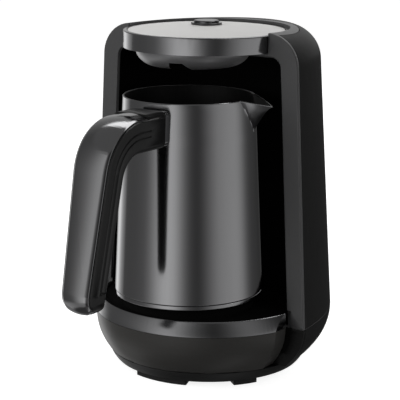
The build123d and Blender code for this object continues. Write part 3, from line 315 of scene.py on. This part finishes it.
def blend_tones(nodes, links, mask, low, high):
    """A colour that goes from one tone to the other with a mask."""
    mix = nodes.new("ShaderNodeMix")
    mix.data_type = "RGBA"
    mix.inputs["A"].default_value = (*low, 1)
    mix.inputs["B"].default_value = (*high, 1)
    links.new(mask, mix.inputs["Factor"])
    return mix.outputs["Result"]


noise_span = (0.3, 0.7)


def spread_value(nodes, links, mask, value, spread):
    """A value that strays a little to both sides with a noise mask."""
    span = nodes.new("ShaderNodeMapRange")
    span.inputs["From Min"].default_value, span.inputs["From Max"].default_value = noise_span
    span.inputs["To Min"].default_value = value * (1 - spread)
    span.inputs["To Max"].default_value = value * (1 + spread)
    links.new(mask, span.inputs["Value"])
    return span.outputs["Result"]


hand_haze = 0.08


def moulded_plastic(
    name, tone, roughness, grain=1500.0, depth=0.2, stretch=(1, 1, 1), shine=0.5, tone_spread=0.15
):
    """Opaque moulded plastic: its tone and gloss vary a little, over a fine grain."""
    made, nodes, links = new_material(name)
    shader = nodes.new("ShaderNodeBsdfPrincipled")
    skin = nodes.new("ShaderNodeGroup")
    skin.node_tree = moulded_skin
    skin.inputs["Grain Scale"].default_value = grain
    skin.inputs["Grain Depth"].default_value = depth
    skin.inputs["Stretch"].default_value = stretch
    low = tuple(c * (1 - tone_spread) for c in tone)
    high = tuple(c * (1 + tone_spread) for c in tone)
    links.new(blend_tones(nodes, links, skin.outputs["Grain"], low, high), shader.inputs["Base Color"])
    rough = spread_value(nodes, links, skin.outputs["Patches"], roughness, hand_haze)
    links.new(rough, shader.inputs["Roughness"])
    links.new(skin.outputs["Normal"], shader.inputs["Normal"])
    shader.inputs["Specular IOR Level"].default_value = shine
    links.new(shader.outputs[0], nodes["Material Output"].inputs["Surface"])
    return made


def body_of_node(node):
    """The body that a CAD node rides on."""
    return frame["nodes"][node]["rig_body"]


def finish_node(node, material):
    """Gives a CAD node that stays as it is its own finish, and keeps it out of reflections."""
    slots = frame["nodes"][node].data.materials
    slots.clear()
    slots.append(material)
    frame["nodes"][node].visible_glossy = False


def shade_round(mesh, sharp_angle):
    """Smooth shading, with the edges of real corners kept sharp."""
    for face in mesh.polygons:
        face.use_smooth = True
    mesh.set_sharp_from_angle(angle=radians(sharp_angle))


def even_normals(piece):
    """Lets large faces lead the shading, so that rounded edges stay clean."""
    weighted = piece.modifiers.new("even_normals", "WEIGHTED_NORMAL")
    weighted.keep_sharp = True
    weighted.weight = 100


weld_gap = 0.002 * MM


def welded_copy(node, material, sharp_angle=28, reshape=None, name=None):
    """A CAD shape with its triangles merged and smoothly shaded, in place of the node."""
    name = name or node + "_surface"
    shape = bmesh.new()
    shape.from_mesh(frame["nodes"][node].data)
    bmesh.ops.remove_doubles(shape, verts=shape.verts, dist=weld_gap)
    if reshape:
        reshape(shape)
    mesh = bpy.data.meshes.new(name)
    shape.to_mesh(mesh)
    shape.free()
    mesh.materials.append(material)
    shade_round(mesh, sharp_angle)
    piece = link_object(name, mesh)
    even_normals(piece)
    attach(piece, body_of_node(node))
    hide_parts(node)
    return piece


cover_black = moulded_plastic("cover_black", (0.007, 0.007, 0.007), 0.42, depth=0.35, shine=0.25)
welded_copy("bottom_cover", cover_black)


# ---- rubber feet ---------------------------------------------------------------------
# Five arc-shaped pads of soft black rubber, pushed onto one circle under the bottom
# cover, so that the machine stands level and doesn't slide.
foot_rubber = moulded_plastic("foot_rubber", (0.009, 0.009, 0.009), 0.7, grain=900.0, depth=0.3, shine=0.3)
welded_copy("rubber_feet", foot_rubber)


# ---- screws --------------------------------------------------------------------------
# Plated steel screws: five short ones from below through the bottom cover, four
# small ones in the head and one up through the handle.
def build_drawn_steel():
    """The faint lines that rolling, turning or brushing leaves in metal, along one direction."""
    tree = bpy.data.node_groups.new("drawn_steel", "ShaderNodeTree")
    group_socket(tree, "Stretch", "NodeSocketVector", "INPUT", (1.0, 1.0, 1.0))
    group_socket(tree, "Line Scale", "NodeSocketFloat", "INPUT", 400.0)
    group_socket(tree, "Depth", "NodeSocketFloat", "INPUT", 0.1)
    group_socket(tree, "Normal", "NodeSocketVector", "OUTPUT")
    group_socket(tree, "Lines", "NodeSocketFloat", "OUTPUT")
    group_socket(tree, "Haze", "NodeSocketFloat", "OUTPUT")
    inside, wires = tree.nodes, tree.links
    entry = inside.new("NodeGroupInput")
    leave = inside.new("NodeGroupOutput")
    place = inside.new("ShaderNodeTexCoord")
    stretched = inside.new("ShaderNodeVectorMath")
    stretched.operation = "MULTIPLY"
    lines = inside.new("ShaderNodeTexNoise")
    lines.inputs["Detail"].default_value = 3.0
    bump = inside.new("ShaderNodeBump")
    bump.inputs["Distance"].default_value = 0.03 * MM
    haze = inside.new("ShaderNodeTexNoise")
    haze.inputs["Scale"].default_value = 18.0
    wires.new(place.outputs["Object"], stretched.inputs[0])
    wires.new(entry.outputs["Stretch"], stretched.inputs[1])
    wires.new(stretched.outputs[0], lines.inputs["Vector"])
    wires.new(entry.outputs["Line Scale"], lines.inputs["Scale"])
    wires.new(entry.outputs["Depth"], bump.inputs["Strength"])
    wires.new(lines.outputs["Fac"], bump.inputs["Height"])
    wires.new(place.outputs["Object"], haze.inputs["Vector"])
    wires.new(bump.outputs["Normal"], leave.inputs["Normal"])
    wires.new(lines.outputs["Fac"], leave.inputs["Lines"])
    wires.new(haze.outputs["Fac"], leave.inputs["Haze"])
    return tree


drawn_steel = build_drawn_steel()
metal_haze = 0.12


def worked_metal(
    name, tone, roughness, stretch=(1, 1, 1), line_scale=400.0, depth=0.1, spread=0.12, metal=1.0
):
    """Metal whose tone and gloss follow the lines of its making."""
    made, nodes, links = new_material(name)
    shader = nodes.new("ShaderNodeBsdfPrincipled")
    work = nodes.new("ShaderNodeGroup")
    work.node_tree = drawn_steel
    work.inputs["Stretch"].default_value = stretch
    work.inputs["Line Scale"].default_value = line_scale
    work.inputs["Depth"].default_value = depth
    low = tuple(c * (1 - spread) for c in tone)
    high = tuple(min(c * (1 + spread), 1) for c in tone)
    links.new(blend_tones(nodes, links, work.outputs["Lines"], low, high), shader.inputs["Base Color"])
    rough = spread_value(nodes, links, work.outputs["Haze"], roughness, metal_haze)
    links.new(rough, shader.inputs["Roughness"])
    links.new(work.outputs["Normal"], shader.inputs["Normal"])
    shader.inputs["Metallic"].default_value = metal
    links.new(shader.outputs[0], nodes["Material Output"].inputs["Surface"])
    return made


plated_steel = worked_metal("plated_steel", (0.42, 0.42, 0.43), 0.32)
for screws in ("cover_screws", "board_screws", "handle_screw"):
    finish_node(screws, plated_steel)


# ---- front bowl ----------------------------------------------------------------------
# The round front of the base, one moulding with a soft satin skin, turned in
# towards the bottom cover and cut off square beside the legs of the arch.
bowl_satin = moulded_plastic("bowl_satin", (0.041, 0.040, 0.038), 0.30, depth=0.12, shine=0.12)
welded_copy("front_bowl", bowl_satin)


# ---- base band -----------------------------------------------------------------------
# A ring of hard plastic with the same dark metallic coat as the pot, snapped over
# the top of the bowl. It carries the long reflections of the room.
coat_tone = (0.20, 0.20, 0.204)
band_coat = worked_metal("band_coat", coat_tone, 0.2, line_scale=900.0, depth=0.02, spread=0.03)
deck_black = moulded_plastic("deck_black", (0.0045, 0.0045, 0.0045), 0.6, depth=0.3, shine=0.0)
# Faces that look up more steeply than this are painted dark: painted shade on the band's top edge, in place
# of the ceiling's reflection.
top_shade_rise = 0.8


def shade_band_top(shape):
    """Paints the faces that look up in the dull black second finish, as painted shade that keeps the room's
    reflection off the band's top edge.
    """
    for face in shape.faces:
        face.material_index = int(face.normal.z > top_shade_rise)


# The band's top edge gets the dull black deck finish as painted shade.
band = welded_copy("base_band", band_coat, reshape=shade_band_top)
band.data.materials.append(deck_black)


# ---- base deck -----------------------------------------------------------------------
# The black floor of the alcove, with the raised ring that keeps spilled coffee away
# from the hot plate.
welded_copy("base_deck", deck_black)


# ---- rear lower cover and the strips beside it ---------------------------------------
# The upper housing's wall carried down and turned in under it, with two narrow strips
# in front that carry the legs of the arch on down beside the bowl.
shell_grain = (60, 60, 1.5)
shell_black = moulded_plastic(
    "shell_black", (0.0045, 0.0045, 0.0044), 0.42, grain=30.0, depth=0.25, stretch=shell_grain, shine=0.12
)
welded_copy("lower_rear_shell", shell_black)
for side in ("left", "right"):
    welded_copy("lower_trim_" + side, shell_black)


# ---- hot plate and its works ---------------------------------------------------------
# A cast aluminium plate with a coated top, in a pressed steel pan that also carries
# the element, the fuse and the guide of the sprung temperature probe.
plate_metal = worked_metal("plate_metal", (0.16, 0.16, 0.165), 0.38, line_scale=300.0)
pan_steel = worked_metal("pan_steel", (0.52, 0.52, 0.53), 0.3)
element_steel = worked_metal("element_steel", (0.27, 0.25, 0.23), 0.45)
spring_steel = worked_metal("spring_steel", (0.62, 0.62, 0.63), 0.22, line_scale=900.0)
fuse_white = moulded_plastic("fuse_white", (0.72, 0.71, 0.67), 0.45)
welded_copy("heater_plate", plate_metal)
finish_node("heater_pan", pan_steel)
finish_node("heating_element", element_steel)
welded_copy("temperature_probe", plate_metal)
finish_node("probe_spring", spring_steel)
finish_node("thermal_fuse", fuse_white)


# ---- arch ----------------------------------------------------------------------------
# The flat front frame of the housing, one moulding in a smooth satin finish, a shade
# lighter than the covers behind it. Its collar round the head and its legs beside the
# pot meet at one level, and only the collar shows in the coated pieces.
arch_satin = moulded_plastic("arch_satin", (0.046, 0.046, 0.047), 0.36, depth=0.1)
collar_drop = 1.0 * MM
collar_level = Vector((0, 0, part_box("head_ring")[0].z - collar_drop))


def keep_collar(shape, side=1):
    """Cuts the arch at the foot of its collar, open there, and keeps the part above."""
    whole = shape.verts[:] + shape.edges[:] + shape.faces[:]
    bmesh.ops.bisect_plane(
        shape, geom=whole, plane_co=collar_level, plane_no=(0, 0, side), clear_inner=True
    )


def keep_legs(shape):
    """Cuts the arch at the foot of its collar, open there, and keeps the part below."""
    keep_collar(shape, side=-1)


welded_copy("bezel_arch", arch_satin, reshape=keep_collar)
legs = welded_copy("bezel_arch", arch_satin, reshape=keep_legs, name="bezel_arch_legs")
legs.visible_glossy = False


# ---- upper housing -------------------------------------------------------------------
# One tall moulding with a round shoulder. Its sides have the faint upright lines of a
# mould that was polished along its draw.
housing = welded_copy("rear_shell", shell_black)
housing.visible_glossy = False


# ---- alcove liner --------------------------------------------------------------------
# The curved wall and roof behind the pot, one thin moulding in dull black plastic,
# held between the arch and the upper housing.
liner_black = moulded_plastic("liner_black", (0.0035, 0.0035, 0.0035), 0.6, depth=0.3, shine=0.0)
liner = welded_copy("alcove_liner", liner_black)
liner.visible_glossy = False


# ---- head ----------------------------------------------------------------------------
# A drum that stands through the roof: a coated ring, the tray that closes it from
# below, and a light grey lid with a slight crown, let in with a thin dark groove.
dark_coat = worked_metal(
    "dark_coat", coat_tone, 0.14, stretch=(1, 1, 0.03), line_scale=900.0, depth=0.02, spread=0.03
)
lid_paint = moulded_plastic(
    "lid_paint", (0.54, 0.535, 0.526), 0.33, grain=2200.0, depth=0.15, shine=0.25, tone_spread=0.03
)
welded_copy("head_ring", dark_coat)
welded_copy("head_tray", liner_black)
welded_copy("lid", lid_paint)


# ---- button --------------------------------------------------------------------------
# A dark glossy cap in a plated ring in the middle of the lid, pushed back up by its
# spring.
button_coat = worked_metal("button_coat", (0.08, 0.08, 0.082), 0.1, line_scale=900.0, depth=0.01)
welded_copy("button_ring", button_coat)
welded_copy("button_cap", button_coat)
finish_node("button_spring", spring_steel)


# ---- spill shield and sensor ---------------------------------------------------------
# A glossy dish under the head that keeps steam and foam off the sensor, with a notch
# that leaves the sensor a view of the pot.
shield_satin = worked_metal(
    "shield_satin", (0.16, 0.16, 0.163), 0.34, line_scale=900.0, depth=0.02, spread=0.03, metal=0.35
)
shield_low, shield_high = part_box("spill_shield")
shield_axis = (shield_low + shield_high) / 2
notch_radius = 24 * MM
coat_turns_in = 0.3
upright_within = 0.05


def mark_inside(shape):
    """Puts the dish's inner side, and the edges of its notch, in the second finish."""
    for face in shape.faces:
        centre = face.calc_center_median()
        outward = Vector((centre.x - shield_axis.x, centre.y - shield_axis.y, 0))
        in_notch = outward.length < notch_radius and abs(face.normal.z) < upright_within
        faces_out = face.normal.dot(outward.normalized()) - face.normal.z
        face.material_index = int(in_notch or faces_out < coat_turns_in)


shield = welded_copy("spill_shield", shield_satin, reshape=mark_inside)
shield.data.materials.append(deck_black)
window_smoke = moulded_plastic("window_smoke", (0.010, 0.005, 0.010), 0.06, depth=0.0)
finish_node("sensor_window", window_smoke)
part_black = moulded_plastic("part_black", (0.03, 0.03, 0.03), 0.45)
finish_node("foam_sensor", part_black)


# ---- electronics ---------------------------------------------------------------------
# Two boards with their components, and the wires between them, in the dry parts of
# the head and the base.
board_mask = moulded_plastic("board_mask", (0.02, 0.14, 0.06), 0.32, grain=700.0, tone_spread=0.3)
sleeve_blue = moulded_plastic("sleeve_blue", (0.03, 0.09, 0.30), 0.35)
lamp_lens = moulded_plastic("lamp_lens", (0.80, 0.80, 0.74), 0.12, depth=0.0)
sheath_grey = moulded_plastic("sheath_grey", (0.24, 0.24, 0.25), 0.5)
sleeve_red = moulded_plastic("sleeve_red", (0.42, 0.05, 0.035), 0.5)
node_finishes = {
    "control_board": board_mask,
    "power_board": board_mask,
    "button_switch": part_black,
    "buzzer": part_black,
    "transformer": part_black,
    "relay": sleeve_blue,
    "capacitor": sleeve_blue,
    "indicator_led": lamp_lens,
    "mains_terminal": fuse_white,
    "wire_loom": sheath_grey,
    "heater_leads": sleeve_red,
}
for node, finish in node_finishes.items():
    finish_node(node, finish)


# ---- cord inlet ----------------------------------------------------------------------
# A black grommet snapped through the lower rear cover, flanged outside and in, as the
# way in for a mains cord.
welded_copy("cord_gland", part_black)


# ---- pot -----------------------------------------------------------------------------
# Drawn steel with a dark polished coat: a cone with a rounded heel, a rim turned to a
# fine bead, and a spout pinched out of its side. A thick disc is pressed onto its bottom.
pot_low, pot_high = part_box("pot_body")
pot_rim_radius = 41.4 * MM
pot_foot_radius = -pot_low.x
pot_wall = 1.0 * MM
pot_heel = 0.6 * MM
rim_bead = 0.75 * MM
bead_width = 0.62

# The spout begins at its apex and opens evenly up to the rim. Its nose is the sharper
# the higher its power, its flare spreads the flanks, and its angle is counted from the
# machine's right towards the back.
spout_angle = radians(15)
spout_reach = 57.4 * MM
spout_half = 17.0 * MM
spout_apex = 154.0 * MM
spout_dip = radians(22)
spout_nose = 9.0
spout_flare = 1.045
closed_spout = 0.02

pot_turns = 160
spout_turns = 11
heel_steps = 5
wall_rows = 36
bead_steps = 8
pot_sharp_angle = 24
coat_stops_at = 0.35
fine_gap = 0.001 * MM


def pot_wall_radius(z):
    """Radius of the cone at a level."""
    share = (z - pot_low.z) / (pot_high.z - pot_low.z)
    return pot_foot_radius + (pot_rim_radius - pot_foot_radius) * share


def rounded_foot(side, base, radius, steps):
    """A lower outer corner, from under the piece out to its side."""
    turns = [radians(90 * step / steps) for step in range(steps + 1)]
    return [(side - radius * (1 - sin(turn)), base + radius * (1 - cos(turn))) for turn in turns]


def pot_profile():
    """The wall's section from the middle of the floor, up the outside and down the inside."""
    low, high = pot_low.z + 2 * pot_heel, pot_high.z - rim_bead
    levels = [low + (high - low) * row / wall_rows for row in range(wall_rows + 1)]
    points = [(0, pot_low.z)]
    points += rounded_foot(pot_foot_radius, pot_low.z, pot_heel, heel_steps)
    points += [(pot_wall_radius(z), z) for z in levels]
    bead_r = pot_wall_radius(pot_high.z) - pot_wall / 2
    for step in range(1, bead_steps):
        turn = radians(180 * step / bead_steps)
        points.append((bead_r + pot_wall * cos(turn) * bead_width, high + rim_bead * sin(turn)))
    points += [(pot_wall_radius(z) - pot_wall, z) for z in reversed(levels)]
    points.append((pot_foot_radius - pot_wall - pot_heel, pot_low.z + pot_wall))
    points.append((0, pot_low.z + pot_wall))
    return points


def turned_shape(profile):
    """A closed round shape, spun from half its section about the pot's axis."""
    shape = bmesh.new()
    line = [shape.verts.new((r, 0, z)) for r, z in profile]
    line_edges = [shape.edges.new(pair) for pair in zip(line, line[1:])]
    bmesh.ops.spin(
        shape, geom=line + line_edges, cent=(0, 0, 0), axis=(0, 0, 1), angle=2 * pi, steps=pot_turns,
        use_merge=True,
    )
    bmesh.ops.remove_doubles(shape, verts=shape.verts, dist=fine_gap)
    return shape


def coated_piece(name, shape, node):
    """A finished shape in the dark coat, on the pot and in place of its node."""
    mesh = bpy.data.meshes.new(name)
    shape.to_mesh(mesh)
    shape.free()
    mesh.materials.append(dark_coat)
    shade_round(mesh, pot_sharp_angle)
    piece = link_object(name, mesh)
    even_normals(piece)
    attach(piece, "pot")
    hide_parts(node)
    return piece


def spout_line(turn, wall, reach, edge):
    """Radius of the pinched spout's outline at an angle from its middle."""
    foot_x, foot_y = wall * cos(edge), wall * sin(edge)
    flare = reach * spout_flare
    flank = flare * foot_y / (foot_y * cos(turn) + (flare - foot_x) * sin(turn))
    cap = reach / cos(turn)
    return (flank**-spout_nose + cap**-spout_nose) ** (-1 / spout_nose)


def pinch(radius, angle, z):
    """Moves a point of the round pot to where the spout's pinching puts it."""
    rise = min(max((z - spout_apex) / (pot_high.z - spout_apex), 0), 1)
    wall = pot_wall_radius(z)
    edge = max(rise * spout_half / wall, closed_spout)
    edge_max = 2 * pi * spout_turns / pot_turns
    if abs(angle) <= edge_max:
        turn = angle * edge / edge_max
        if rise == 0:
            return radius, turn, z
        reach = wall + (spout_reach - pot_rim_radius) * rise
        pushed = radius + max(spout_line(abs(turn), wall, reach, edge) - wall, 0)
        dip = max(pushed - pot_rim_radius, 0) * tan(spout_dip) * rise**3
        return pushed, turn, z - dip
    past = (abs(angle) - edge_max) / (pi - edge_max)
    turn = edge + past * (pi - edge)
    return radius, turn if angle > 0 else -turn, z


def pinch_spout(shape):
    """Pinches the spout out of the round wall, and turns it to its side of the handle."""
    for vert in shape.verts:
        flat_radius = sqrt(vert.co.x**2 + vert.co.y**2)
        if flat_radius > 0.1 * MM:
            radius, turn, z = pinch(flat_radius, atan2(vert.co.y, vert.co.x), vert.co.z)
            vert.co = Vector((radius * cos(turn + spout_angle), radius * sin(turn + spout_angle), z))


def mark_pot_inside(shape):
    """Puts the faces that look inwards, above the floor, in the second finish."""
    for face in shape.faces:
        centre = face.calc_center_median()
        faces_out = face.normal.dot(Vector((centre.x, centre.y, 0)).normalized())
        face.material_index = int(faces_out < coat_stops_at and centre.z > pot_low.z + pot_wall / 2)


pot_inside = worked_metal(
    "pot_inside", (0.05, 0.05, 0.05), 0.5, stretch=(1, 1, 0.03), line_scale=900.0, depth=0.02
)
pot_shape = turned_shape(pot_profile())
pinch_spout(pot_shape)
bmesh.ops.recalc_face_normals(pot_shape, faces=pot_shape.faces)
mark_pot_inside(pot_shape)
pot = coated_piece("pot_wall", pot_shape, "pot_body")
pot.data.materials.append(pot_inside)

base_low, base_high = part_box("pot_base")
base_side = base_high.x
base_edge = 0.8 * MM
base_edge_steps = 6
base_groove = 0.35 * MM
base_profile = [(0, base_low.z)]
base_profile += rounded_foot(base_side, base_low.z, base_edge, base_edge_steps)
base_profile += [(base_side, base_high.z - base_groove), (base_side - base_groove, base_high.z)]
base_profile += [(0, base_high.z)]
base_shape = turned_shape(base_profile)
bmesh.ops.recalc_face_normals(base_shape, faces=base_shape.faces)
coated_piece("pot_disc", base_shape, "pot_base")


# ---- handle --------------------------------------------------------------------------
# A hooked handle on a steel collar: a satin core with two fine grooves along its
# sides, and a glossy crowned cover over its back.
core_satin = moulded_plastic("core_satin", (0.007, 0.007, 0.007), 0.3, depth=0.08, shine=0.3)
handle_gloss = worked_metal(
    "handle_gloss", (0.18, 0.18, 0.183), 0.12, line_scale=900.0, depth=0.01, spread=0.02
)
welded_copy("handle_core", core_satin, sharp_angle=42)
welded_copy("handle_bracket", dark_coat)

cover_low, cover_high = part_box("handle_cover")
cover_tip_half = 9.0 * MM
cover_root_half = 12.5 * MM
crown_rise = 1.7 * MM
crown_pitch = 1.4 * MM
row_pitch = 4.0 * MM
cover_depth = 2.8 * MM
shoulder_round = 36.5 * MM
tip_round = 12.0 * MM
grip_slope = 0.2212
grip_lean = atan(grip_slope)
tip_centre = Vector((-cover_low.y - tip_round, cover_low.z + tip_round))
shoulder_z = cover_high.z - shoulder_round
shoulder_back = (shoulder_z - tip_centre.y) * tan(grip_lean) + (shoulder_round - tip_round) / cos(grip_lean)
shoulder_centre = Vector((tip_centre.x - shoulder_back, shoulder_z))
up_the_grip = Vector((-sin(grip_lean), cos(grip_lean)))


def cut_evenly(shape, axis, low, high, pitch):
    """Cuts a mesh into even strips across one axis, so that its flat faces can be bent."""
    count = round((high - low) / pitch)
    across = Vector([float(k == axis) for k in range(3)])
    for step in range(1, count):
        place = across * (low + (high - low) * step / count)
        whole = shape.verts[:] + shape.edges[:] + shape.faces[:]
        bmesh.ops.bisect_plane(shape, geom=whole, plane_co=place, plane_no=across, dist=fine_gap)


def grip_facing(place):
    """Which way the grip's outer line faces at a place, and how deep the place lies under it."""
    from_shoulder, from_tip = place - shoulder_centre, place - tip_centre
    if from_shoulder.dot(up_the_grip) > 0:
        turn = min(max(atan2(from_shoulder.y, from_shoulder.x), grip_lean), pi / 2)
        facing = Vector((cos(turn), sin(turn)))
        return facing, shoulder_round - from_shoulder.dot(facing)
    turn = grip_lean
    if from_tip.dot(up_the_grip) < 0:
        turn = max(min(atan2(from_tip.y, from_tip.x), grip_lean), -pi / 2)
    facing = Vector((cos(turn), sin(turn)))
    return facing, tip_round - from_tip.dot(facing)


def crown_cover(shape):
    """Lets the cover's outer face fall away towards its sides."""
    for axis, pitch in ((0, crown_pitch), (1, row_pitch), (2, row_pitch)):
        cut_evenly(shape, axis, cover_low[axis], cover_high[axis], pitch)
    for vert in shape.verts:
        facing, depth = grip_facing(Vector((-vert.co.y, vert.co.z)))
        share = (vert.co.z - cover_low.z) / (cover_high.z - cover_low.z)
        half = cover_tip_half + (cover_root_half - cover_tip_half) * share
        fall = crown_rise * (vert.co.x / half) ** 2 * min(max(1 - depth / cover_depth, 0), 1)
        vert.co += Vector((0, facing.x, -facing.y)) * fall


welded_copy("handle_cover", handle_gloss, reshape=crown_cover)
